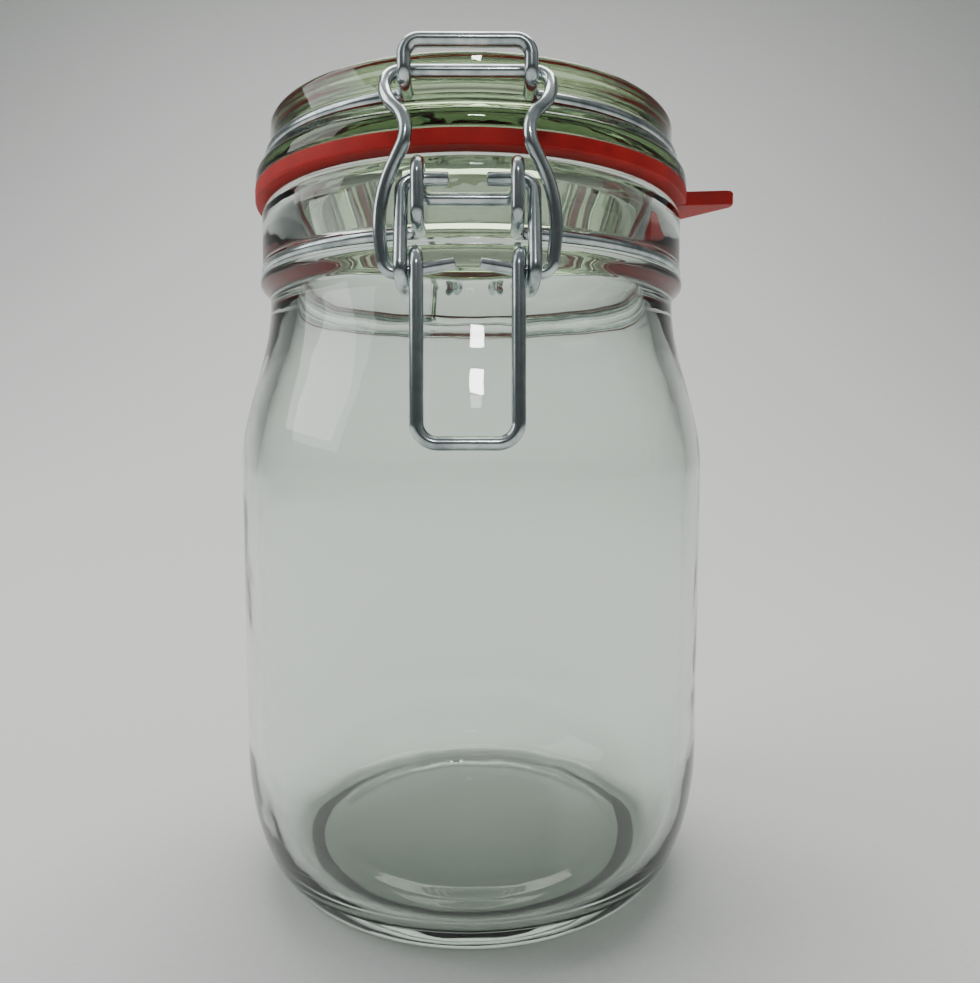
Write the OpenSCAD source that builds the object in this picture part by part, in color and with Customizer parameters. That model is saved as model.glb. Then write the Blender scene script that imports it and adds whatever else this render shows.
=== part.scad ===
// Clip-top glass storage jar: a moulded jar, a moulded lid, a rubber gasket and four bent wires.
// Frame: +Z up, origin at the centre of the foot, the clasp faces -Y, the lid hinge is at +Y.

/* [Jar] */
// Outer diameter of the jar body
jar_d = 104; // [96:1:125]
// Height from the foot to the sealing lip
jar_h = 148; // [124:1:180]
// Glass thickness of the body wall
wall = 3.2; // [2.4:0.1:4.5]
// Glass thickness of the floor
floor_t = 6; // [4:0.5:9]
// Width of the rounded heel, inwards from the body
heel_w = 12; // [8:1:16]
// Height of the rounded heel
heel_h = 29; // [18:1:36]
// Height of the sloping shoulder
shoulder_h = 35; // [25:1:45]
// Diameter of the waist between shoulder and neck
waist_d = 90.6; // [86:0.1:94]
// Outer diameter of the neck
neck_d = 93.6; // [90:0.1:100]
// Diameter of the bead below the wire groove
bead_d = 94.7; // [92:0.1:101]
// Clear diameter of the mouth
mouth_d = 80; // [66:1:82]
// Height of the wire groove's middle below the sealing lip
groove_drop = 14.4; // [12:0.1:20]
// Height of the waist below the wire groove
waist_drop = 6.7; // [5:0.1:9]
// Radius of the rounded outer edge of the sealing lip
lip_r = 3.3; // [2:0.1:4]

/* [Lid] */
// Diameter of the lid's flange
lid_d = 96; // [94:0.5:102]
// Thickness of the flange at its edge
flange_t = 1.5; // [1:0.1:3]
// Height of the lid above its gasket
lid_h = 14.4; // [12:0.1:20]
// Diameter of the lid's upper part
crown_d = 89.5; // [84:0.5:92]
// Height of the wire groove's middle above the gasket
lid_groove_rise = 6.8; // [6:0.1:9]
// Gap between the lid's plug and the mouth
plug_gap = 1; // [0.6:0.1:2]
// Depth of the plug below the flange
plug_h = 5; // [3:0.5:8]
// Width of the raised rim round the top
rim_w = 6.5; // [4:0.5:10]
// Depth of the recess inside the rim
recess_h = 3.4; // [2:0.2:5]

/* [Gasket] */
// Outer diameter of the gasket
gasket_d = 96.2; // [92:0.1:102]
// Thickness of the gasket
gasket_t = 2.8; // [2:0.1:4]
// Gap between the gasket's hole and the lid's plug
gasket_fit = 0.8; // [0.4:0.1:1.5]
// How far the pull tab stands out from the gasket
tab_len = 9.4; // [6:0.2:14]
// Width of the pull tab at its tip
tab_w = 3; // [2:0.5:8]
// Width of the pull tab at its root
tab_root_w = 15; // [10:1:20]

/* [Wires] */
// Wire diameter of the neck wire
neck_wire_d = 2.3; // [2:0.1:2.8]
// Wire diameter of the lid wire
lid_wire_d = 2.4; // [2:0.1:2.8]
// Wire diameter of the bail
bail_wire_d = 2.3; // [2:0.1:2.6]
// Wire diameter of the lever
lever_wire_d = 2.4; // [2:0.1:2.8]
// Gap between a groove's wall and the wire seated in it
groove_fit = 0.12; // [0.1:0.01:0.3]
// Running gap round the lever's and the lid's pivots
pivot_gap = 0.25; // [0.1:0.05:0.4]
// Least gap between pieces that pass each other
pass_gap = 0.5; // [0.3:0.1:1]

/* [Clasp] */
// Distance of the neck wire's hooks from the middle
hook_x = 8.3; // [7:0.1:10]
// Height of the lever's pivot above the neck groove
pivot_rise = 7.6; // [6:0.1:10]
// Distance of the lever's arms from the middle
arm_x = 11.1; // [10.6:0.1:13]
// Distance of the handle's legs from the middle
leg_x = 8.4; // [7.5:0.1:9]
// Distance from the lever's pivot to the bail's pivot
toggle_l = 15.3; // [13:0.1:18]
// Mean radius of the lever's coils
coil_r = 3.1; // [2.8:0.1:3.6]
// Length of the handle below the bail's pivot
handle_l = 28.8; // [20:0.1:40]
// Finger room between the handle and the jar body
handle_gap = 4.6; // [3:0.1:12]
// Half width of the bail's top bar
bar_x = 13.6; // [13:0.1:16]
// Half width of the bail at its pinch
pinch_x = 9.4; // [9.2:0.1:12]
// Half width of the bail at its belly
belly_x = 15; // [14.6:0.1:18]
// How far the bail's pinch stands in front of the catch loop
bail_bow = 2.4; // [1.8:0.1:4]
// Half width of the lid wire's catch loop
loop_x = 10.6; // [8:0.1:11]
// Height of the catch loop above the lid's groove
loop_h = 6.2; // [5:0.1:9]
// Room for the bar between the lid and the catch loop
loop_play = 1.6; // [1.2:0.1:3]

/* [Hinge] */
// Distance from the lid's edge to the hinge bar
hinge_gap = 6.4; // [5:0.1:10]
// Distance of the hinge bar's uprights from the middle
upright_x = 14; // [12:0.5:20]
// Distance of the hinge eyes from the middle
eye_x = 5.5; // [4:0.5:7]

/* [Hidden] */
$fn = 64;

// Jar levels and radii
jar_r = jar_d / 2;
neck_r = neck_d / 2;
waist_r = waist_d / 2;
bead_r = bead_d / 2;
mouth_r = mouth_d / 2;
foot_r = jar_r - heel_w;
groove_z = jar_h - groove_drop;
waist_z = groove_z - waist_drop;
shoulder_z = waist_z - shoulder_h;
outline_steps = 16;
inner_edge_r = 1.2;

// Wire rings
ring_r = neck_r - 0.9;
groove_hw = neck_wire_d / 2 + groove_fit;
lid_z = jar_h + gasket_t;
lid_r = lid_d / 2;
crown_r = crown_d / 2;
plug_r = mouth_r - plug_gap;
lid_ring_r = crown_r;
lid_ring_z = lid_z + lid_groove_rise;
lid_groove_hw = lid_wire_d / 2 + groove_fit;

// Hinge bar and its uprights
hinge_y = max(lid_r, gasket_d / 2) + hinge_gap;
hinge_z = jar_h;
eye_r = (neck_wire_d + lid_wire_d) / 2 + pivot_gap;

// Clasp points, in the plane of the jar's axis and the clasp
hook_r = (neck_wire_d + lever_wire_d) / 2 + pivot_gap;
hook_back_y = -(neck_r + 0.15 + neck_wire_d / 2);
pivot_y = hook_back_y - hook_r;
pivot_z = groove_z + pivot_rise;
coil_y = pivot_y - 0.7;
coil_z = pivot_z - toggle_l;
handle_y = -(jar_r + handle_gap);
handle_z = coil_z - handle_l;
bar_y = -(crown_r + pass_gap + bail_wire_d / 2);
bar_z = lid_ring_z + (lid_wire_d + bail_wire_d) / 2 + pass_gap;
loop_y = bar_y - (bail_wire_d + lid_wire_d) / 2 - loop_play;
loop_z = lid_ring_z + loop_h;
edge_clear_y = -(max(lid_r, gasket_d / 2) + pass_gap + bail_wire_d / 2);

// Outline helpers
function ease(t) = t * t * (3 - 2 * t);
function blend(r0, z0, r1, z1, n) =
    [for (i = [0:n]) [r0 + (r1 - r0) * ease(i / n), z0 + (z1 - z0) * i / n]];
function quarter(cx, cz, rx, rz, a0, a1, n) =
    [for (i = [0:n]) let (a = a0 + (a1 - a0) * i / n) [cx + rx * cos(a), cz + rz * sin(a)]];

// Wire joints
joint_gap = 0.03;
joint_l = 0.3;
joint_swell = 1.02;

// Wire helpers. A wire is a list of corners [x, y, z, setback]: the bend at a corner starts that
// distance before it and ends that distance after it.
function unit(v) = v / norm(v);
function at(p) = [p.x, p.y, p.z];
function flip(path) = [for (i = [len(path) - 1:-1:0]) [-path[i].x, path[i].y, path[i].z, path[i][3]]];
function frame(x, y, z, o) =
    [[x.x, y.x, z.x, o.x], [x.y, y.y, z.y, o.y], [x.z, y.z, z.z, o.z], [0, 0, 0, 1]];
function square_to(w) = unit(abs(w.z) < 0.9 ? cross([0, 0, 1], w) : cross([1, 0, 0], w));

// Corners of a ring of radius r about the Z axis, from angle a0 to a1 measured from -Y towards +X
function ring_corners(r, z, a0, a1, n) =
    let (d = (a1 - a0) / n, rc = r / cos(d / 2), s = r * tan(d / 2))
    [for (i = [0:n - 1]) let (a = a0 + (i + 0.5) * d) [rc * sin(a), -rc * cos(a), z, s]];

// Corners of a coil about an X axis through y0, z0, from angle a0 to a1 measured from the side that
// faces `way` (-1 is the front), wound downwards first, while x goes from x0 to x1
function coil_corners(y0, z0, r, x0, x1, a0, a1, n, way) =
    let (d = (a1 - a0) / n, rc = r / cos(d / 2), dx = (x1 - x0) / (n - 1),
         s = norm([2 * r * tan(d / 2), dx]) / 2)
    [for (i = [0:n - 1]) let (a = a0 + (i + 0.5) * d)
        [x0 + i * dx, y0 + way * rc * cos(a), z0 - rc * sin(a), s]];

// A straight length of wire
module rod(a, b, r) {
    w = unit(b - a);
    u = square_to(w);
    multmatrix(frame(u, cross(w, u), w, a)) cylinder(h = norm(b - a), r = r);
}

// The bend of a wire at corner p, between directions u and v. It stops a hair short of the joints,
// where a collar closes the wire.
module elbow(p, u, v, s, r) {
    turn = acos(u * v);
    bend_r = s / tan(turn / 2);
    short = joint_gap / bend_r * 180 / PI;
    w = unit(cross(u, v));
    n = cross(w, u);
    multmatrix(frame(-n, u, w, p - u * s + n * bend_r)) rotate([0, 0, short])
        rotate_extrude(angle = turn - 2 * short) translate([bend_r, 0]) circle(r = r);
}

// A short collar that joins two lengths of wire along direction u, a hair thicker than the wire
module joint(p, u, r) {
    rod(p - u * joint_l / 2, p + u * joint_l / 2, r * joint_swell);
}

// A bent wire through a list of corners, open or closed in a loop
module wire(path, r, closed = false) {
    n = len(path);
    for (i = [0:n - (closed ? 1 : 2)]) {
        p = path[i];
        q = path[(i + 1) % n];
        u = unit(at(q) - at(p));
        a = at(p) + u * p[3];
        b = at(q) - u * q[3];
        if ((b - a) * u > joint_gap) {
            rod(a, b, r);
            if (closed || i > 0) joint(a, u, r);
        }
        if (closed || i < n - 2) joint(b, u, r);
    }
    for (i = [closed ? 0 : 1:n - (closed ? 1 : 2)]) {
        p = path[i];
        elbow(at(p), unit(at(p) - at(path[(i + n - 1) % n])), unit(at(path[(i + 1) % n]) - at(p)), p[3], r);
    }
}

// The moulded glass jar
module glass_jar() {
    outside = concat(
        [[0, 0]],
        quarter(foot_r, heel_h, heel_w, heel_h, -90, 0, outline_steps),
        blend(jar_r, shoulder_z, waist_r, waist_z, outline_steps),
        blend(waist_r, waist_z + 0.6, bead_r, groove_z - groove_hw - 1.2, 6),
        [[bead_r, groove_z - groove_hw], [ring_r - groove_hw, groove_z - groove_hw],
         [ring_r - groove_hw, groove_z + groove_hw], [neck_r, groove_z + groove_hw]],
        quarter(neck_r - lip_r, jar_h - lip_r, lip_r, lip_r, 0, 90, 8),
        quarter(mouth_r + inner_edge_r, jar_h - inner_edge_r, inner_edge_r, inner_edge_r, 90, 180, 4));
    inside = concat(
        blend(mouth_r, groove_z - 2, jar_r - wall, shoulder_z - 2, outline_steps),
        quarter(foot_r, floor_t + heel_h - wall, heel_w - wall, heel_h - wall, 0, -90, outline_steps),
        [[0, floor_t + 0.8]]);
    color([0.76, 0.82, 0.79, 0.45]) rotate_extrude() polygon(concat(outside, inside));
}

// The moulded glass lid
module glass_lid() {
    top_z = lid_z + lid_h;
    under_z = lid_z + 2.6;
    profile = concat(
        [[0, under_z], [plug_r - 6, under_z], [plug_r - 4, lid_z - plug_h + 0.8],
         [plug_r - 3.2, lid_z - plug_h], [plug_r - 0.8, lid_z - plug_h], [plug_r, lid_z - plug_h + 0.8],
         [plug_r, lid_z], [lid_r - 0.4, lid_z], [lid_r, lid_z + 0.4], [lid_r, lid_z + flange_t]],
        quarter(lid_r - 1.4, lid_z + flange_t, 1.4, 2.4, 15, 75, 4),
        [[crown_r + 1.3, lid_ring_z - lid_groove_hw], [lid_ring_r - lid_groove_hw, lid_ring_z - lid_groove_hw],
         [lid_ring_r - lid_groove_hw, lid_ring_z + lid_groove_hw], [crown_r + 0.15, lid_ring_z + lid_groove_hw]],
        quarter(crown_r - 1.2, top_z - 1.2, 1.2, 1.2, 0, 90, 4),
        quarter(crown_r - rim_w, top_z - 1.4, 1.4, 1.4, 90, 160, 4),
        [[crown_r - rim_w - 2.6, top_z - recess_h], [0, top_z - recess_h - 0.6]]);
    color([0.62, 0.74, 0.64, 0.5]) rotate_extrude() polygon(profile);
}

// The rubber gasket with its pull tab
module rubber_gasket() {
    outer_r = gasket_d / 2;
    inner_r = plug_r + gasket_fit;
    tip_x = outer_r + tab_len;
    color([0.59, 0.13, 0.1]) translate([0, 0, jar_h]) {
        rotate_extrude() translate([inner_r, 0]) square([outer_r - inner_r, gasket_t]);
        difference() {
            rotate([0, 0, -6]) linear_extrude(height = gasket_t) polygon([
                [outer_r - 4, -tab_root_w / 2], [tip_x - 1, -tab_root_w / 2], [tip_x, -tab_root_w / 2 + 1],
                [tip_x, -tab_root_w / 2 + tab_w], [outer_r - 4, tab_root_w / 2]]);
            translate([0, 0, -1]) cylinder(h = gasket_t + 2, r = outer_r - 2);
        }
    }
}

// The neck wire: two hooks at the front, a ring in the groove and the hinge bar at the back
module neck_wire() {
    leave = 20;
    rear = 158;
    slip = (ring_r * sin(leave) - hook_x) / cos(leave);
    rear_slip = (ring_r * sin(rear) - upright_x) / -cos(rear);
    hook_front_y = hook_back_y - 2 * hook_r;
    hook_top_z = pivot_z + hook_r;
    half = concat(
        [[hook_x, hook_back_y, pivot_z - hook_r, 2],
         [hook_x, hook_back_y, hook_top_z, hook_r],
         [hook_x, hook_front_y, hook_top_z, hook_r],
         [hook_x, hook_front_y, groove_z, 2.4],
         [hook_x, -ring_r * cos(leave) - slip * sin(leave), groove_z, 2]],
        ring_corners(ring_r, groove_z, leave, rear, 4),
        [[upright_x, -ring_r * cos(rear) + rear_slip * sin(rear), groove_z, 2],
         [upright_x, hinge_y, groove_z, 3],
         [upright_x, hinge_y, hinge_z, 3]]);
    color([0.66, 0.71, 0.72]) wire(concat(flip(half), half), neck_wire_d / 2, closed = true);
}

// The lid wire: catch loop at the front, hinge eyes at the back
module lid_wire() {
    leave = 20;
    rear = 169;
    slip = (lid_ring_r * sin(leave) - loop_x) / cos(leave);
    rear_slip = (lid_ring_r * sin(rear) - eye_x) / -cos(rear);
    eye_end_x = eye_x + 1.25 * (lid_wire_d + 0.1);
    half = concat(
        [[loop_x, loop_y, loop_z, 2.6],
         [loop_x, loop_y, lid_ring_z, 2],
         [loop_x, -lid_ring_r * cos(leave) - slip * sin(leave), lid_ring_z, 1.6]],
        ring_corners(lid_ring_r, lid_ring_z, leave, rear, 4),
        [[eye_x, -lid_ring_r * cos(rear) + rear_slip * sin(rear), lid_ring_z, 1.4],
         [eye_x, hinge_y + eye_r, lid_ring_z, 3]],
        coil_corners(hinge_y, hinge_z, eye_r, eye_x, eye_end_x, 0, 450, 10, 1),
        [[eye_end_x, hinge_y - 1, hinge_z - eye_r, 0]]);
    color([0.7, 0.75, 0.76]) wire(concat(flip(half), half), lid_wire_d / 2);
}

// The locking bail: top bar, pinched sides and two inward pivot stubs
module locking_bail() {
    foot_x = arm_x + (lever_wire_d + bail_wire_d) / 2 + pass_gap;
    half = [
        [bar_x, bar_y, bar_z, 2.6],
        [bar_x + 0.8, bar_y - 3, bar_z - 5, 1.8],
        [pinch_x, min(loop_y - bail_bow, edge_clear_y), bar_z - 11, 2.4],
        [belly_x + 0.4, coil_y - 0.4, pivot_z - 4.3, 4.5],
        [foot_x, coil_y, coil_z - 0.7, 2],
        [2.1, coil_y, coil_z + 1.4, 0]];
    color([0.68, 0.73, 0.74]) wire(concat(flip(half), half), bail_wire_d / 2);
}

// The lever: pivot stubs, arms, one coil a side and the hanging finger loop
module lever_handle() {
    reach = norm([pivot_y - coil_y, toggle_l]);
    start = acos(coil_r / reach) - 90 - atan((pivot_y - coil_y) / toggle_l);
    drop = norm([coil_y - handle_y, handle_l]);
    finish = 360 - acos(coil_r / drop) + atan(handle_l / (coil_y - handle_y));
    half = concat(
        [[3.2, pivot_y, pivot_z, 0],
         [arm_x, pivot_y, pivot_z, 2.4]],
        coil_corners(coil_y, coil_z, coil_r, arm_x, leg_x, start, finish, 8, -1),
        [[leg_x, handle_y, handle_z, 3.5]]);
    color([0.62, 0.67, 0.68]) wire(concat(half, flip(half)), lever_wire_d / 2);
}

glass_jar();
glass_lid();
rubber_gasket();
neck_wire();
lid_wire();
locking_bail();
lever_handle();
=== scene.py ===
"""Clip-top glass storage jar: blown and pressed glass, moulded rubber and bent plated wire.

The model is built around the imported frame. Lengths in the dataclasses are millimetres, as on a
maker's drawing, and become metres when a mesh is made. +Z is up and the clasp faces -Y.
"""
import logging
import math
from dataclasses import dataclass, field
from enum import Enum

import bmesh
import bpy
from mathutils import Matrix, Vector


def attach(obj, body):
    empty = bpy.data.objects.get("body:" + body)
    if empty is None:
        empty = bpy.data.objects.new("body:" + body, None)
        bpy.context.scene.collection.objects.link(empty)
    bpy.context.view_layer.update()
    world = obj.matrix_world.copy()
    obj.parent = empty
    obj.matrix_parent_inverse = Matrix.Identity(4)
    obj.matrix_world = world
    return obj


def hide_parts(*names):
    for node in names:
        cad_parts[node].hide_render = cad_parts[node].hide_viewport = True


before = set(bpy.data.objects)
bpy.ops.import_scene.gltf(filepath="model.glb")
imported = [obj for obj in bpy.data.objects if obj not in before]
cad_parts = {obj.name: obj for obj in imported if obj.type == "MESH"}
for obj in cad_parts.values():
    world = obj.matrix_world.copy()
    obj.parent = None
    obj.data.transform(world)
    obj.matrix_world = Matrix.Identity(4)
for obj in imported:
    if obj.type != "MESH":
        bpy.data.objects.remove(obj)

log = logging.getLogger("jar")
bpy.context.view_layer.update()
MM = 0.001
Point2 = tuple[float, float]


class Body(Enum):
    """The rigid bodies that pieces ride on."""

    JAR = "jar"
    LID = "lid"
    LEVER = "lever"
    BAIL = "bail"


def linear(hex_colour: str) -> tuple[float, float, float, float]:
    """Turns an sRGB hex colour into linear RGBA.

    Args:
        hex_colour: six hex digits with a leading #.

    Returns:
        Linear red, green, blue and an alpha of 1.
    """
    parts = [int(hex_colour[i : i + 2], 16) / 255 for i in (1, 3, 5)]
    rgb = [c / 12.92 if c <= 0.04045 else ((c + 0.055) / 1.055) ** 2.4 for c in parts]
    return (rgb[0], rgb[1], rgb[2], 1.0)


def per_metre(size_mm: float) -> float:
    """Scale of a pattern whose repeat is size_mm, for object coordinates in metres."""
    return 1000.0 / size_mm


def add(tree: bpy.types.NodeTree, kind: str, links: dict | None = None, **settings: object) -> bpy.types.Node:
    """Adds one shader node, sets its values and makes its links.

    Args:
        tree: the node tree.
        kind: the node's type name, without "ShaderNode".
        links: input name or index to the output socket that feeds it.
        **settings: attributes of the node; a key "inputs" is a dict of input values.

    Returns:
        The new node.
    """
    node = tree.nodes.new("ShaderNode" + kind)
    for key, value in settings.pop("inputs", {}).items():
        node.inputs[key].default_value = value
    for key, value in settings.items():
        setattr(node, key, value)
    for key, socket in (links or {}).items():
        tree.links.new(socket, node.inputs[key])
    return node


def ramp(
    tree: bpy.types.NodeTree, factor: bpy.types.NodeSocket, stops: list[tuple[float, tuple]]
) -> bpy.types.Node:
    """Adds a colour ramp with these stops.

    Args:
        tree: the node tree.
        factor: the socket that drives it.
        stops: position and linear RGBA of each stop.

    Returns:
        The ramp node.
    """
    node = add(tree, "ValToRGB", {"Fac": factor})
    elements = node.color_ramp.elements
    while len(elements) < len(stops):
        elements.new(0.5)
    for element, (position, colour) in zip(elements, stops):
        element.position = position
        element.color = colour
    return node


def new_material(name: str) -> tuple[bpy.types.Material, bpy.types.NodeTree, bpy.types.Node]:
    """Makes a material with a principled shader.

    Args:
        name: the material's name.

    Returns:
        The material, its node tree and its principled node.
    """
    material = bpy.data.materials.new(name)
    material.use_nodes = True
    tree = material.node_tree
    return material, tree, tree.nodes["Principled BSDF"]


@dataclass(frozen=True)
class SodaLimeGlass:
    """Soda-lime glass, blown or pressed in an iron mould and fire polished.

    The eye sees clear glass with a grey-green cast where it is thick, and gentle ripples from the
    mould that break up what shows through it.
    """

    name: str
    tint: str
    depth_tint: str
    density: float
    ior: float = 1.5
    ripple_mm: float = 16.0
    ripple_height_mm: float = 0.12
    seed_mm: float = 3.2

    def build(self) -> bpy.types.Material:
        """Makes the glass material."""
        material, tree, shader = new_material(self.name)
        shader.inputs["Base Color"].default_value = linear(self.tint)
        shader.inputs["Transmission Weight"].default_value = 1.0
        shader.inputs["IOR"].default_value = self.ior
        place = add(tree, "TexCoord")
        # Slow ripples of the mould, and a finer chill that only the highlights show.
        ripple = add(tree, "TexNoise", {"Vector": place.outputs["Object"]},
                     inputs={"Scale": per_metre(self.ripple_mm), "Detail": 2.0, "Roughness": 0.4})
        chill = add(tree, "TexNoise", {"Vector": place.outputs["Object"]},
                    inputs={"Scale": per_metre(self.seed_mm), "Detail": 1.0})
        wave = add(tree, "Bump", {"Height": ripple.outputs["Fac"]},
                   inputs={"Strength": 0.35, "Distance": self.ripple_height_mm * MM * 4})
        fine = add(tree, "Bump", {"Height": chill.outputs["Fac"], "Normal": wave.outputs["Normal"]},
                   inputs={"Strength": 0.015, "Distance": 0.00001})
        tree.links.new(fine.outputs["Normal"], shader.inputs["Normal"])
        # A breath of haze and fingerprints dulls the polish in places.
        haze = add(tree, "TexNoise", {"Vector": place.outputs["Object"]},
                   inputs={"Scale": per_metre(22.0), "Detail": 4.0})
        rough = add(tree, "MapRange", {"Value": haze.outputs["Fac"]},
                    inputs={"From Min": 0.45, "From Max": 0.75, "To Min": 0.0, "To Max": 0.05})
        tree.links.new(rough.outputs["Result"], shader.inputs["Roughness"])
        depth = add(tree, "VolumeAbsorption")
        depth.inputs["Color"].default_value = linear(self.depth_tint)
        depth.inputs["Density"].default_value = self.density
        tree.links.new(depth.outputs["Volume"], tree.nodes["Material Output"].inputs["Volume"])
        return material


@dataclass(frozen=True)
class MouldedRubber:
    """Natural rubber, compression moulded and die cut.

    The eye sees a saturated red with a soft sheen, a fine matt grain and a paler, dusty bloom.
    """

    name: str = "natural_rubber_moulded"
    deep: str = "#8C0B08"
    body: str = "#AE120D"
    bloom: str = "#BC2118"
    grain_mm: float = 0.5
    mottle_mm: float = 9.0

    def build(self) -> bpy.types.Material:
        """Makes the rubber material."""
        material, tree, shader = new_material(self.name)
        place = add(tree, "TexCoord")
        mottle = add(tree, "TexNoise", {"Vector": place.outputs["Object"]},
                     inputs={"Scale": per_metre(self.mottle_mm), "Detail": 5.0, "Roughness": 0.6})
        colour = ramp(tree, mottle.outputs["Fac"],
                      [(0.3, linear(self.deep)), (0.55, linear(self.body)), (0.8, linear(self.bloom))])
        tree.links.new(colour.outputs["Color"], shader.inputs["Base Color"])
        grain = add(tree, "TexNoise", {"Vector": place.outputs["Object"]},
                    inputs={"Scale": per_metre(self.grain_mm), "Detail": 3.0})
        bump = add(tree, "Bump", {"Height": grain.outputs["Fac"]},
                   inputs={"Strength": 0.15, "Distance": 0.00004})
        tree.links.new(bump.outputs["Normal"], shader.inputs["Normal"])
        rough = add(tree, "MapRange", {"Value": mottle.outputs["Fac"]},
                    inputs={"To Min": 0.5, "To Max": 0.68})
        tree.links.new(rough.outputs["Result"], shader.inputs["Roughness"])
        shader.inputs["IOR"].default_value = 1.52
        shader.inputs["Specular IOR Level"].default_value = 0.35
        shader.inputs["Sheen Weight"].default_value = 0.04
        shader.inputs["Subsurface Weight"].default_value = 0.04
        shader.inputs["Subsurface Radius"].default_value = (0.002, 0.0006, 0.0004)
        return material


@dataclass(frozen=True)
class ZincPlatedWire:
    """Drawn steel wire, bright zinc plated.

    The eye sees a cool, nearly mirror-bright metal with fine lengthwise die marks and faint dull
    patches where the plating has weathered.
    """

    name: str = "steel_wire_drawn_zinc_plated"
    bright: str = "#D3DBDC"
    dull: str = "#98A3A5"
    mark_mm: float = 0.35
    patch_mm: float = 6.0

    def build(self) -> bpy.types.Material:
        """Makes the plated wire material."""
        material, tree, shader = new_material(self.name)
        shader.inputs["Metallic"].default_value = 1.0
        place = add(tree, "TexCoord")
        patch = add(tree, "TexNoise", {"Vector": place.outputs["Object"]},
                    inputs={"Scale": per_metre(self.patch_mm), "Detail": 6.0, "Roughness": 0.65})
        colour = ramp(tree, patch.outputs["Fac"], [(0.35, linear(self.dull)), (0.6, linear(self.bright))])
        tree.links.new(colour.outputs["Color"], shader.inputs["Base Color"])
        rough = add(tree, "MapRange", {"Value": patch.outputs["Fac"]},
                    inputs={"From Min": 0.3, "From Max": 0.7, "To Min": 0.26, "To Max": 0.12})
        tree.links.new(rough.outputs["Result"], shader.inputs["Roughness"])
        # The die marks run along the wire, which is the tube's V direction.
        stretch = add(tree, "Mapping", {"Vector": place.outputs["UV"]},
                      inputs={"Scale": (7.0, 1.0 / self.mark_mm / 40, 1.0)})
        marks = add(tree, "TexNoise", {"Vector": stretch.outputs["Vector"]},
                    inputs={"Scale": 3.0, "Detail": 3.0})
        bump = add(tree, "Bump", {"Height": marks.outputs["Fac"]},
                   inputs={"Strength": 0.12, "Distance": 0.00003})
        tree.links.new(bump.outputs["Normal"], shader.inputs["Normal"])
        return material


@dataclass(frozen=True)
class MattePaper:
    """Seamless studio paper: an even pale surface with a faint tooth."""

    name: str = "studio_paper_matte"
    colour: str = "#DDDFDE"
    tooth_mm: float = 1.5

    def build(self) -> bpy.types.Material:
        """Makes the paper material."""
        material, tree, shader = new_material(self.name)
        shader.inputs["Roughness"].default_value = 0.85
        place = add(tree, "TexCoord")
        tooth = add(tree, "TexNoise", {"Vector": place.outputs["Object"]},
                    inputs={"Scale": per_metre(self.tooth_mm), "Detail": 3.0})
        colour = ramp(tree, tooth.outputs["Fac"], [(0.2, linear("#D6D9D8")), (0.8, linear(self.colour))])
        tree.links.new(colour.outputs["Color"], shader.inputs["Base Color"])
        return material


def finished(
    obj: bpy.types.Object, material: bpy.types.Material, body: Body, node: str
) -> bpy.types.Object:
    """Dresses a piece and ties it to the frame.

    Args:
        obj: the piece.
        material: its material.
        body: the body that it rides on.
        node: the CAD node that it stands for.

    Returns:
        The piece.
    """
    obj.data.materials.append(material)
    for polygon in obj.data.polygons:
        polygon.use_smooth = True
    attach(obj, body.value)
    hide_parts(node)
    log.info("%s: %d faces on body %s", obj.name, len(obj.data.polygons), body.value)
    return obj


def link(name: str, mesh: bpy.types.Mesh) -> bpy.types.Object:
    """Puts a mesh into the scene as an object."""
    obj = bpy.data.objects.new(name, mesh)
    bpy.context.scene.collection.objects.link(obj)
    return obj


def arc(cx: float, cz: float, rx: float, rz: float, a0: float, a1: float, steps: int) -> list[Point2]:
    """Points on an elliptic arc in the r-z plane.

    Args:
        cx: centre radius.
        cz: centre height.
        rx: radius of the arc across.
        rz: radius of the arc upwards.
        a0: first angle in degrees.
        a1: last angle in degrees.
        steps: number of spans.

    Returns:
        The points.
    """
    angles = [math.radians(a0 + (a1 - a0) * i / steps) for i in range(steps + 1)]
    return [(cx + rx * math.cos(a), cz + rz * math.sin(a)) for a in angles]


def eased(r0: float, z0: float, r1: float, z1: float, steps: int) -> list[Point2]:
    """Points on a smooth S from one radius to another, level at both ends."""
    spans = [i / steps for i in range(steps + 1)]
    return [(r0 + (r1 - r0) * t * t * (3 - 2 * t), z0 + (z1 - z0) * t) for t in spans]


def lathe(name: str, profile: list[Point2], segments: int = 192) -> bpy.types.Object:
    """Turns a closed profile round the Z axis.

    Args:
        name: the piece's name.
        profile: radius and height of each point in mm, anticlockwise, first and last on the axis
            or the whole list a loop off the axis.
        segments: steps round the axis.

    Returns:
        The turned piece.
    """
    mesh = bmesh.new()
    rings: list[list[bmesh.types.BMVert]] = []
    for radius, height in profile:
        if radius < 1e-6:
            rings.append([mesh.verts.new((0, 0, height * MM))])
            continue
        turns = [2 * math.pi * k / segments for k in range(segments)]
        rings.append([mesh.verts.new((radius * math.cos(a) * MM, radius * math.sin(a) * MM, height * MM))
                      for a in turns])
    closed = len(rings[0]) > 1
    pairs = list(zip(rings, rings[1:] + ([rings[0]] if closed else [])))
    for low, high in pairs if closed else pairs[: len(rings) - 1]:
        for k in range(segments):
            n = (k + 1) % segments
            if len(low) == 1:
                mesh.faces.new((low[0], high[n], high[k]))
            elif len(high) == 1:
                mesh.faces.new((low[k], low[n], high[0]))
            else:
                mesh.faces.new((low[k], low[n], high[n], high[k]))
    bmesh.ops.recalc_face_normals(mesh, faces=mesh.faces)
    data = bpy.data.meshes.new(name)
    mesh.to_mesh(data)
    mesh.free()
    return link(name, data)


@dataclass
class Corner:
    """A corner of a bent wire: its place in mm and how far before it the bend starts."""

    at: Vector
    setback: float


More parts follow.
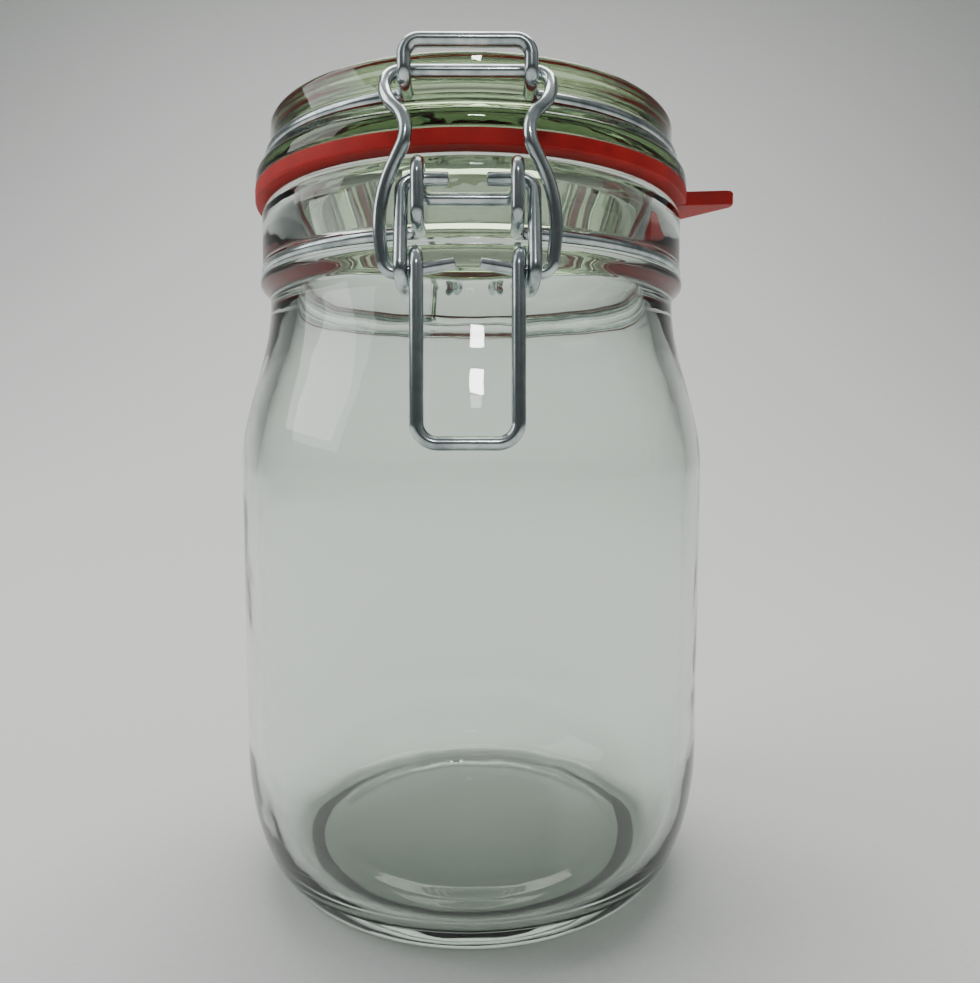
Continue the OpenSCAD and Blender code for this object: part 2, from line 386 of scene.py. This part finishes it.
def corner(x: float, y: float, z: float, setback: float = 0.0) -> Corner:
    """A corner at x, y, z."""
    return Corner(Vector((x, y, z)), setback)


def flipped(path: list[Corner]) -> list[Corner]:
    """The same corners on the other side of the jar, in reverse order."""
    return [corner(-c.at.x, c.at.y, c.at.z, c.setback) for c in reversed(path)]


def ring_corners(radius: float, z: float, a0: float, a1: float, count: int) -> list[Corner]:
    """Corners of a level ring, from angle a0 to a1 in degrees from the front towards +X."""
    step = math.radians((a1 - a0) / count)
    reach, setback = radius / math.cos(step / 2), radius * math.tan(step / 2)
    angles = [math.radians(a0) + (i + 0.5) * step for i in range(count)]
    return [corner(reach * math.sin(a), -reach * math.cos(a), z, setback) for a in angles]


def coil_corners(
    centre: Point2, radius: float, x0: float, x1: float, turn: Point2, count: int, way: int
) -> list[Corner]:
    """Corners of a coil about an X axis, wound downwards first.

    Args:
        centre: y and z of the coil's axis.
        radius: mean radius of the coil.
        x0: where the coil starts along X.
        x1: where it ends.
        turn: first and last angle in degrees, from the side that faces way.
        count: number of corners.
        way: -1 if the coil starts on the front side, 1 on the back.

    Returns:
        The corners.
    """
    step = math.radians((turn[1] - turn[0]) / count)
    reach, across = radius / math.cos(step / 2), (x1 - x0) / (count - 1)
    setback = math.hypot(2 * radius * math.tan(step / 2), across) / 2
    corners = []
    for i in range(count):
        angle = math.radians(turn[0]) + (i + 0.5) * step
        corners.append(corner(x0 + i * across, centre[0] + way * reach * math.cos(angle),
                              centre[1] - reach * math.sin(angle), setback))
    return corners


def centre_line(path: list[Corner], closed: bool, fineness: float = 4.0) -> list[Vector]:
    """Points along a bent wire, its bends as true arcs.

    Args:
        path: the corners.
        closed: whether the wire closes on itself.
        fineness: degrees of bend per point.

    Returns:
        The points in mm.
    """
    count, points = len(path), []
    for i, here in enumerate(path):
        if not closed and i in (0, count - 1):
            points.append(here.at.copy())
            continue
        u = (here.at - path[i - 1].at).normalized()
        v = (path[(i + 1) % count].at - here.at).normalized()
        turn = u.angle(v)
        if turn < 1e-4:
            continue
        radius = here.setback / math.tan(turn / 2)
        inward = (v - u * u.dot(v)).normalized()
        start = here.at - u * here.setback
        steps = max(2, math.ceil(math.degrees(turn) / fineness))
        for k in range(steps + 1):
            a = turn * k / steps
            points.append(start + u * radius * math.sin(a) + inward * radius * (1 - math.cos(a)))
    return [p for i, p in enumerate(points) if i == 0 or (p - points[i - 1]).length > 0.01]


def tube(
    name: str, path: list[Corner], diameter: float, closed: bool = False, sides: int = 28
) -> bpy.types.Object:
    """Sweeps round wire along its corners, with softly rounded cut ends.

    Args:
        name: the piece's name.
        path: the wire's corners.
        diameter: the wire's diameter in mm.
        closed: whether the wire closes on itself.
        sides: points round the wire.

    Returns:
        The wire as one mesh.
    """
    line = centre_line(path, closed)
    if closed and (line[0] - line[-1]).length < 0.01:
        line.pop()
    mesh, radius, count = bmesh.new(), diameter / 2, len(line)
    layer = mesh.loops.layers.uv.new("along")
    tangents = []
    for i in range(count):
        before = line[i - 1] if closed or i else line[0]
        after = line[(i + 1) % count] if closed or i < count - 1 else line[-1]
        tangents.append((after - before).normalized())
    normal = tangents[0].orthogonal().normalized()
    frames = [normal]
    for i in range(1, count):
        turn = tangents[i - 1].rotation_difference(tangents[i])
        normal = turn @ normal
        frames.append((normal - tangents[i] * normal.dot(tangents[i])).normalized())
    twist = 0.0
    if closed:
        last = tangents[-1].rotation_difference(tangents[0]) @ frames[-1]
        twist = math.atan2(last.cross(frames[0]).dot(tangents[0]), last.dot(frames[0]))
    stations = [(line[i], tangents[i], frames[i], 1.0, twist * i / count) for i in range(count)]
    if not closed:
        edge = radius * 0.35
        head = [(line[0] + tangents[0] * edge * (1 - math.cos(a)), tangents[0], frames[0],
                 1 - 0.35 * (1 - math.sin(a)), 0.0) for a in (0.0, 0.5, 1.0)]
        tail = [(line[-1] - tangents[-1] * edge * (1 - math.cos(a)), tangents[-1], frames[-1],
                 1 - 0.35 * (1 - math.sin(a)), 0.0) for a in (1.0, 0.5, 0.0)]
        stations = head + stations[1:-1] + tail
    rings = []
    for place, along, across, swell, roll in stations:
        side = along.cross(across)
        ring = []
        for k in range(sides):
            a = 2 * math.pi * k / sides + roll
            outward = across * math.cos(a) + side * math.sin(a)
            ring.append(mesh.verts.new((place + outward * radius * swell) * MM))
        rings.append(ring)
    length = 0.0
    for i in range(len(rings) if closed else len(rings) - 1):
        low, high = rings[i], rings[(i + 1) % len(rings)]
        step = (stations[(i + 1) % len(rings)][0] - stations[i][0]).length / 40
        for k in range(sides):
            n = (k + 1) % sides
            face = mesh.faces.new((low[k], low[n], high[n], high[k]))
            for loop, uv in zip(face.loops, ((k, 0), (k + 1, 0), (k + 1, 1), (k, 1))):
                loop[layer].uv = (uv[0] / sides, length + uv[1] * step)
        length += step
    if not closed:
        mesh.faces.new(list(reversed(rings[0])))
        mesh.faces.new(rings[-1])
    bmesh.ops.recalc_face_normals(mesh, faces=mesh.faces)
    data = bpy.data.meshes.new(name)
    mesh.to_mesh(data)
    mesh.free()
    return link(name, data)


@dataclass
class Neck:
    """Levels and radii that the jar, the lid and the wires share, in mm."""

    jar_h: float = 148.0
    jar_r: float = 51.97
    neck_r: float = 46.8
    mouth_r: float = 40.0
    waist_r: float = 45.3
    bead_r: float = 47.35
    groove_z: float = 133.6
    waist_z: float = 126.9
    shoulder_z: float = 91.9
    ring_r: float = 45.9
    gasket_t: float = 2.8
    gasket_r: float = 48.1
    lid_r: float = 48.0
    crown_r: float = 44.75
    lid_h: float = 14.4
    hinge_y: float = 54.5
    hinge_z: float = 148.0

    @property
    def lid_z(self) -> float:
        """Underside of the lid's flange."""
        return self.jar_h + self.gasket_t

    @property
    def lid_ring_z(self) -> float:
        """Height of the lid's wire groove."""
        return self.lid_z + 6.8


@dataclass
class GlassJar:
    """The moulded jar: heel, body, shoulder, bead, wire groove and lip."""

    neck: Neck
    wall: float = 3.2
    floor: float = 6.0
    heel_w: float = 11.97
    heel_h: float = 29.0
    foot_r: float = 40.0
    groove_hw: float = 1.27
    lip_r: float = 3.3
    punt_h: float = 1.4
    finish: SodaLimeGlass = field(default_factory=lambda: SodaLimeGlass(
        "soda_lime_glass_blown", "#F3F8F4", "#9BBBA6", 5.0))

    def profile(self) -> list[Point2]:
        """The closed outline, up the outside and down the inside."""
        n = self.neck
        foot = [(0.0, self.punt_h), (20.0, self.punt_h * 0.9), (30.0, self.punt_h * 0.6),
                (34.0, self.punt_h * 0.2), (36.0, 0.0), (38.5, 0.0)]
        heel = arc(self.foot_r, self.heel_h, self.heel_w, self.heel_h, -90, 0, 28)
        shoulder = eased(n.jar_r, n.shoulder_z, n.waist_r, n.waist_z, 36)
        bead = eased(n.waist_r, n.waist_z + 0.8, n.bead_r, n.groove_z - self.groove_hw - 1.4, 10)
        floor_r = n.ring_r - self.groove_hw
        low, high = n.groove_z - self.groove_hw, n.groove_z + self.groove_hw
        groove = [(n.bead_r, low - 0.5), (n.bead_r - 0.4, low), (floor_r + 0.3, low + 0.1),
                  (floor_r, n.groove_z - 0.6), (floor_r, n.groove_z + 0.6), (floor_r + 0.3, high - 0.1),
                  (n.neck_r - 0.4, high), (n.neck_r, high + 0.5)]
        lip = arc(n.neck_r - self.lip_r, n.jar_h - self.lip_r, self.lip_r, self.lip_r, 0, 90, 14)
        inner_lip = arc(n.mouth_r + 1.2, n.jar_h - 1.2, 1.2, 1.2, 90, 180, 6)
        inside = eased(n.mouth_r, n.groove_z - 2, n.jar_r - self.wall, n.shoulder_z - 2, 36)
        well = arc(self.foot_r, self.floor + self.heel_h - self.wall, self.heel_w - self.wall,
                   self.heel_h - self.wall, 0, -90, 28)
        # The push-up of the mould leaves a raised round step in the middle of the floor.
        step = [(36.0, self.floor), (34.4, self.floor + 0.12), (33.4, self.floor + 0.6),
                (31.6, self.floor + 0.85), (0.0, self.floor + 1.5)]
        return foot + heel + shoulder + bead + groove + lip + inner_lip + inside + well + step

    def build(self) -> bpy.types.Object:
        """Turns the jar and dresses it."""
        jar = lathe("jar_glass_body", self.profile())
        return finished(jar, self.finish.build(), Body.JAR, "glass_jar")


@dataclass
class GlassLid:
    """The pressed lid: plug, flange, wire groove, crown and recessed top."""

    neck: Neck
    plug_gap: float = 1.0
    plug_h: float = 5.0
    flange_t: float = 1.5
    groove_hw: float = 1.32
    rim_w: float = 6.5
    recess_h: float = 3.4
    finish: SodaLimeGlass = field(default_factory=lambda: SodaLimeGlass(
        "soda_lime_glass_pressed", "#D6E4C8", "#86A66C", 28.0, ripple_mm=7.0, ripple_height_mm=0.1))

    def profile(self) -> list[Point2]:
        """The closed outline, out along the underside and back across the top."""
        n = self.neck
        z, top, ring_z = n.lid_z, n.lid_z + n.lid_h, n.lid_ring_z
        plug = n.mouth_r - self.plug_gap
        under = [(0.0, z + 2.6), (plug - 7.0, z + 2.6), (plug - 5.6, z + 1.8),
                 (plug - 4.4, z - self.plug_h + 1.6)]
        plug_ring = arc(plug - 2.0, z - self.plug_h + 1.2, 1.9, 1.2, 180, 360, 12)
        flange = [(plug, z - self.plug_h + 1.8), (plug, z - 0.6), (plug + 0.5, z)]
        edge = arc(n.lid_r - 0.5, z + 0.5, 0.5, 0.5, -90, 0, 5) + [(n.lid_r, z + self.flange_t)]
        slope = arc(n.lid_r - 1.4, z + self.flange_t, 1.4, 2.4, 15, 75, 8)
        floor_r = n.crown_r - self.groove_hw
        low, high = ring_z - self.groove_hw, ring_z + self.groove_hw
        groove = [(n.crown_r + 1.3, low), (floor_r + 0.3, low + 0.1), (floor_r, ring_z - 0.6),
                  (floor_r, ring_z + 0.6), (floor_r + 0.3, high - 0.1), (n.crown_r + 0.3, high),
                  (n.crown_r, high + 0.6)]
        rim = arc(n.crown_r - 1.3, top - 1.3, 1.3, 1.3, 0, 90, 8)
        inner = arc(n.crown_r - self.rim_w, top - 1.5, 1.5, 1.5, 90, 165, 8)
        dish = [(n.crown_r - self.rim_w - 2.6, top - self.recess_h), (20.0, top - self.recess_h - 0.4),
                (0.0, top - self.recess_h - 0.6)]
        return under + plug_ring + flange + edge + slope + groove + rim + inner + dish

    def build(self) -> bpy.types.Object:
        """Turns the lid and dresses it."""
        lid = lathe("lid_glass_crown", self.profile())
        return finished(lid, self.finish.build(), Body.LID, "glass_lid")


@dataclass
class Gasket:
    """The flat rubber ring with its pull tab."""

    neck: Neck
    inner_r: float = 39.8
    edge_r: float = 0.45
    tab_len: float = 9.4
    tab_turn: float = -6.0
    press: float = 0.06
    finish: MouldedRubber = field(default_factory=MouldedRubber)

    def outline(self, steps: int = 180) -> list[Vector]:
        """The outer outline with the tab at +X, anticlockwise from the tab's front root."""
        turn, r = math.radians(self.tab_turn), self.neck.gasket_r
        tip = r + self.tab_len

        def placed(x: float, y: float) -> Vector:
            return Vector((x * math.cos(turn) - y * math.sin(turn), x * math.sin(turn) + y * math.cos(turn)))

        tab = [placed(45.8, -7.5), placed(tip - 1.2, -7.5), placed(tip - 0.35, -7.15), placed(tip, -6.3),
               placed(tip, -5.1), placed(tip - 0.3, -4.5), placed(tip - 0.9, -4.0), placed(47.4, 4.6)]
        start = math.atan2(placed(46.4, 7.4).y, placed(46.4, 7.4).x)
        end = 2 * math.pi + math.atan2(tab[0].y, tab[0].x) - 0.012
        ring = [Vector((r * math.cos(a), r * math.sin(a)))
                for a in (start + (end - start) * i / steps for i in range(steps + 1))]
        return tab + ring

    def build(self) -> bpy.types.Object:
        """Makes the ring, rounds its edges and dresses it."""
        # Pressed rubber wets the glass above and below it, so its red shows inside the glass.
        z0, z1 = self.neck.jar_h - self.press, self.neck.jar_h + self.neck.gasket_t + self.press
        outer = self.outline()
        count = len(outer)
        inner = [p.normalized() * self.inner_r for p in outer]
        mesh = bmesh.new()
        loops = [[mesh.verts.new((p.x * MM, p.y * MM, z * MM)) for p in side]
                 for side, z in ((outer, z0), (outer, z1), (inner, z1), (inner, z0))]
        for low, high in zip(loops, loops[1:] + loops[:1]):
            for k in range(count):
                n = (k + 1) % count
                mesh.faces.new((low[k], low[n], high[n], high[k]))
        bmesh.ops.recalc_face_normals(mesh, faces=mesh.faces)
        data = bpy.data.meshes.new("gasket_ring")
        mesh.to_mesh(data)
        mesh.free()
        gasket = link("gasket_ring", data)
        bevel = gasket.modifiers.new("edge", "BEVEL")
        bevel.width = self.edge_r * MM
        bevel.segments = 3
        bevel.limit_method = "ANGLE"
        bevel.angle_limit = math.radians(50)
        weighted = gasket.modifiers.new("normals", "WEIGHTED_NORMAL")
        weighted.keep_sharp = True
        return finished(gasket, self.finish.build(), Body.LID, "rubber_gasket")


@dataclass
class Wirework:
    """The four bent wires: neck wire, lid wire, bail and lever."""

    neck: Neck
    neck_d: float = 2.3
    lid_d: float = 2.4
    bail_d: float = 2.3
    lever_d: float = 2.4
    pivot_gap: float = 0.25
    hook_x: float = 8.3
    arm_x: float = 11.1
    leg_x: float = 8.4
    toggle_l: float = 15.3
    coil_r: float = 3.1
    handle_l: float = 28.8
    bar_x: float = 13.6
    pinch_x: float = 9.0
    belly_x: float = 15.4
    loop_x: float = 10.6
    loop_h: float = 6.2
    upright_x: float = 14.0
    eye_x: float = 5.5
    handle_y: float = -56.6
    leave_deg: float = 20.0
    neck_rear_deg: float = 158.0
    lid_rear_deg: float = 169.0
    finish: ZincPlatedWire = field(default_factory=ZincPlatedWire)

    @property
    def hook_r(self) -> float:
        """Mean radius of the neck wire's hooks."""
        return (self.neck_d + self.lever_d) / 2 + self.pivot_gap

    @property
    def hook_back_y(self) -> float:
        """Where the hooks' back legs stand, just clear of the neck."""
        return -(self.neck.neck_r + 0.15 + self.neck_d / 2)

    @property
    def pivot(self) -> Point2:
        """y and z of the lever's pivot."""
        return self.hook_back_y - self.hook_r, self.neck.groove_z + 7.6

    @property
    def coil(self) -> Point2:
        """y and z of the bail's pivot, in the lever's coils."""
        return self.pivot[0] - 0.7, self.pivot[1] - self.toggle_l

    @property
    def bar(self) -> Point2:
        """y and z of the bail's top bar."""
        return (-(self.neck.crown_r + 0.5 + self.bail_d / 2),
                self.neck.lid_ring_z + (self.lid_d + self.bail_d) / 2 + 0.5)

    @property
    def loop_y(self) -> float:
        """How far out the catch loop stands."""
        return self.bar[0] - (self.bail_d + self.lid_d) / 2 - 1.6

    def neck_wire(self) -> list[Corner]:
        """The neck wire's corners: hooks, ring and hinge bar."""
        n, pivot_z = self.neck, self.pivot[1]
        leave, rear = math.radians(self.leave_deg), math.radians(self.neck_rear_deg)
        slip = (n.ring_r * math.sin(leave) - self.hook_x) / math.cos(leave)
        rear_slip = (n.ring_r * math.sin(rear) - self.upright_x) / -math.cos(rear)
        front_y, top = self.hook_back_y - 2 * self.hook_r, pivot_z + self.hook_r
        front_ring_y = -n.ring_r * math.cos(leave) - slip * math.sin(leave)
        rear_ring_y = -n.ring_r * math.cos(rear) + rear_slip * math.sin(rear)
        half = [corner(self.hook_x, self.hook_back_y, pivot_z - self.hook_r, 2.0),
                corner(self.hook_x, self.hook_back_y, top, self.hook_r),
                corner(self.hook_x, front_y, top, self.hook_r),
                corner(self.hook_x, front_y, n.groove_z, 2.4),
                corner(self.hook_x, front_ring_y, n.groove_z, 2.0)]
        half += ring_corners(n.ring_r, n.groove_z, self.leave_deg, self.neck_rear_deg, 4)
        half += [corner(self.upright_x, rear_ring_y, n.groove_z, 2.0),
                 corner(self.upright_x, n.hinge_y, n.groove_z, 3.0),
                 corner(self.upright_x, n.hinge_y, n.hinge_z, 3.0)]
        return flipped(half) + half

    def lid_wire(self) -> list[Corner]:
        """The lid wire's corners: catch loop, ring and hinge eyes."""
        n = self.neck
        leave, rear = math.radians(self.leave_deg), math.radians(self.lid_rear_deg)
        radius, z = n.crown_r, n.lid_ring_z
        slip = (radius * math.sin(leave) - self.loop_x) / math.cos(leave)
        rear_slip = (radius * math.sin(rear) - self.eye_x) / -math.cos(rear)
        eye_r = (self.neck_d + self.lid_d) / 2 + self.pivot_gap
        eye_end = self.eye_x + 1.25 * (self.lid_d + 0.1)
        half = [corner(self.loop_x, self.loop_y, z + self.loop_h, 2.6),
                corner(self.loop_x, self.loop_y, z, 2.0),
                corner(self.loop_x, -radius * math.cos(leave) - slip * math.sin(leave), z, 1.6)]
        half += ring_corners(radius, z, self.leave_deg, self.lid_rear_deg, 4)
        half += [corner(self.eye_x, -radius * math.cos(rear) + rear_slip * math.sin(rear), z, 1.4),
                 corner(self.eye_x, n.hinge_y + eye_r, z, 3.0)]
        half += coil_corners((n.hinge_y, n.hinge_z), eye_r, self.eye_x, eye_end, (0, 450), 10, 1)
        half += [corner(eye_end, n.hinge_y - 1, n.hinge_z - eye_r)]
        return flipped(half) + half

    def bail(self) -> list[Corner]:
        """The bail's corners: top bar, pinched sides and pivot stubs."""
        (by, bz), (cy, cz) = self.bar, self.coil
        foot_x = self.arm_x + (self.lever_d + self.bail_d) / 2 + 0.5
        half = [corner(self.bar_x, by, bz, 2.6),
                corner(self.bar_x + 0.8, by - 3.0, bz - 5.0, 3.0),
                corner(self.pinch_x, self.loop_y - 2.5, bz - 11.0, 4.2),
                corner(self.belly_x, cy - 0.4, self.pivot[1] - 4.3, 6.5),
                corner(foot_x, cy, cz - 0.7, 2.4),
                corner(2.1, cy, cz + 1.4)]
        return flipped(half) + half

    def lever(self) -> list[Corner]:
        """The lever's corners: stubs, arms, coils and finger loop."""
        (py, pz), (cy, cz) = self.pivot, self.coil
        reach = math.hypot(py - cy, self.toggle_l)
        start = math.degrees(math.acos(self.coil_r / reach) - math.atan((py - cy) / self.toggle_l)) - 90
        drop = math.hypot(cy - self.handle_y, self.handle_l)
        slant = math.atan(self.handle_l / (cy - self.handle_y))
        finish = 360 + math.degrees(slant - math.acos(self.coil_r / drop))
        half = [corner(3.2, py, pz), corner(self.arm_x, py, pz, 2.4)]
        half += coil_corners((cy, cz), self.coil_r, self.arm_x, self.leg_x, (start, finish), 8, -1)
        half += [corner(self.leg_x, self.handle_y, cz - self.handle_l, 3.5)]
        return half + flipped(half)

    def build(self) -> list[bpy.types.Object]:
        """Sweeps and dresses the four wires."""
        material = self.finish.build()
        plan = [("neck_ring_wire", self.neck_wire(), self.neck_d, True, Body.JAR, "neck_wire"),
                ("lid_ring_wire", self.lid_wire(), self.lid_d, False, Body.LID, "lid_wire"),
                ("bail_wire", self.bail(), self.bail_d, False, Body.BAIL, "locking_bail"),
                ("lever_wire", self.lever(), self.lever_d, False, Body.LEVER, "lever_handle")]
        return [finished(tube(name, path, diameter, closed), material, body, node)
                for name, path, diameter, closed, body, node in plan]


@dataclass
class Studio:
    """The floor, the soft lights and the camera."""

    floor_size: float = 24.0
    sweep_start: float = 0.25
    sweep_r: float = 0.9
    lens: float = 28.62
    sensor: float = 36.0
    clip_start: float = 0.01
    place: Point2 = (0.0027, -0.1849)
    eye_z: float = 0.0986
    yaw_deg: float = 0.43
    pitch_deg: float = 4.18
    surround: float = 0.6

    def floor(self) -> None:
        """Lays the pale paper, swept up behind the jar."""
        mesh = bmesh.new()
        half, bend, start = self.floor_size / 2, self.sweep_r, self.sweep_start
        line = [(-half, 0.0), (start, 0.0)]
        line += [(start + bend * math.sin(a), bend * (1 - math.cos(a)))
                 for a in (math.radians(3 * k) for k in range(1, 31))]
        line += [(start + bend, half)]
        rows = [[mesh.verts.new((x, y, z)) for x in (-half, half)] for y, z in line]
        for low, high in zip(rows, rows[1:]):
            mesh.faces.new((low[0], low[1], high[1], high[0]))
        data = bpy.data.meshes.new("studio_paper")
        mesh.to_mesh(data)
        mesh.free()
        data.polygons.foreach_set("use_smooth", [True] * len(data.polygons))
        floor = link("studio_paper", data)
        floor.data.materials.append(MattePaper().build())

    def light(self, name: str, at: tuple, aim: tuple, size: Point2, watts: float, colour: str) -> None:
        """Hangs one soft rectangular light.

        Args:
            name: the light's name.
            at: its place in metres.
            aim: the point that it faces.
            size: its width and height in metres.
            watts: its power.
            colour: its sRGB colour.
        """
        data = bpy.data.lights.new(name, "AREA")
        data.shape = "RECTANGLE"
        data.size = size[0]
        data.size_y = size[1]
        data.energy = watts
        data.color = linear(colour)[:3]
        lamp = bpy.data.objects.new(name, data)
        lamp.location = at
        lamp.rotation_mode = "QUATERNION"
        lamp.rotation_quaternion = (Vector(aim) - Vector(at)).to_track_quat("-Z", "Y")
        bpy.context.scene.collection.objects.link(lamp)

    def camera(self) -> None:
        """Places the camera close to the jar, a little above its middle."""
        data = bpy.data.cameras.new("camera")
        data.lens = self.lens
        data.sensor_width = self.sensor
        data.clip_start = self.clip_start
        camera = bpy.data.objects.new("camera", data)
        camera.location = (self.place[0], self.place[1], self.eye_z)
        camera.rotation_euler = (math.radians(90 - self.pitch_deg), 0.0, -math.radians(self.yaw_deg))
        bpy.context.scene.collection.objects.link(camera)
        bpy.context.scene.camera = camera

    def world(self) -> None:
        """Gives a soft surround: light overhead, darker low down and on the camera's side."""
        world = bpy.data.worlds.new("studio")
        world.use_nodes = True
        tree = world.node_tree
        place = add(tree, "TexCoord")
        split = add(tree, "SeparateXYZ", {"Vector": place.outputs["Generated"]})
        height = add(tree, "MapRange", {"Value": split.outputs["Z"]}, inputs={"From Min": -1.0})
        rise = ramp(tree, height.outputs["Result"],
                    [(0.3, linear("#3A3E3F")), (0.55, linear("#7C8283")), (0.8, linear("#E6EAEA"))])
        depth = add(tree, "MapRange", {"Value": split.outputs["Y"]},
                    inputs={"From Min": -1.0, "From Max": 0.4, "To Min": 0.35, "To Max": 1.0})
        background = tree.nodes["Background"]
        tree.links.new(rise.outputs["Color"], background.inputs["Color"])
        strength = add(tree, "Math", {0: depth.outputs["Result"]},
                       operation="MULTIPLY", inputs={1: self.surround})
        tree.links.new(strength.outputs["Value"], background.inputs["Strength"])
        bpy.context.scene.world = world

    def build(self) -> None:
        """Sets the stage."""
        self.camera()
        self.world()
        self.floor()
        middle = (0.0, 0.0, 0.09)
        self.light("small_window", (0.045, -0.87, 0.68), middle, (0.10, 0.045), 1.2, "#FFFFFF")
        self.light("side_window", (-0.95, -0.1, 0.75), middle, (0.7, 0.9), 5.0, "#FFFFFF")
        self.light("overhead", (0.0, 0.35, 1.2), middle, (1.1, 0.8), 16.0, "#FFFDF8")


def main() -> None:
    """Builds the stage and every piece, in order."""
    logging.basicConfig(level=logging.INFO, format="%(name)s: %(message)s")
    Studio().build()
    neck = Neck()
    GlassJar(neck).build()
    Gasket(neck).build()
    GlassLid(neck).build()
    Wirework(neck).build()
    log.info("sizes written")


if __name__ == "__main__":
    main()
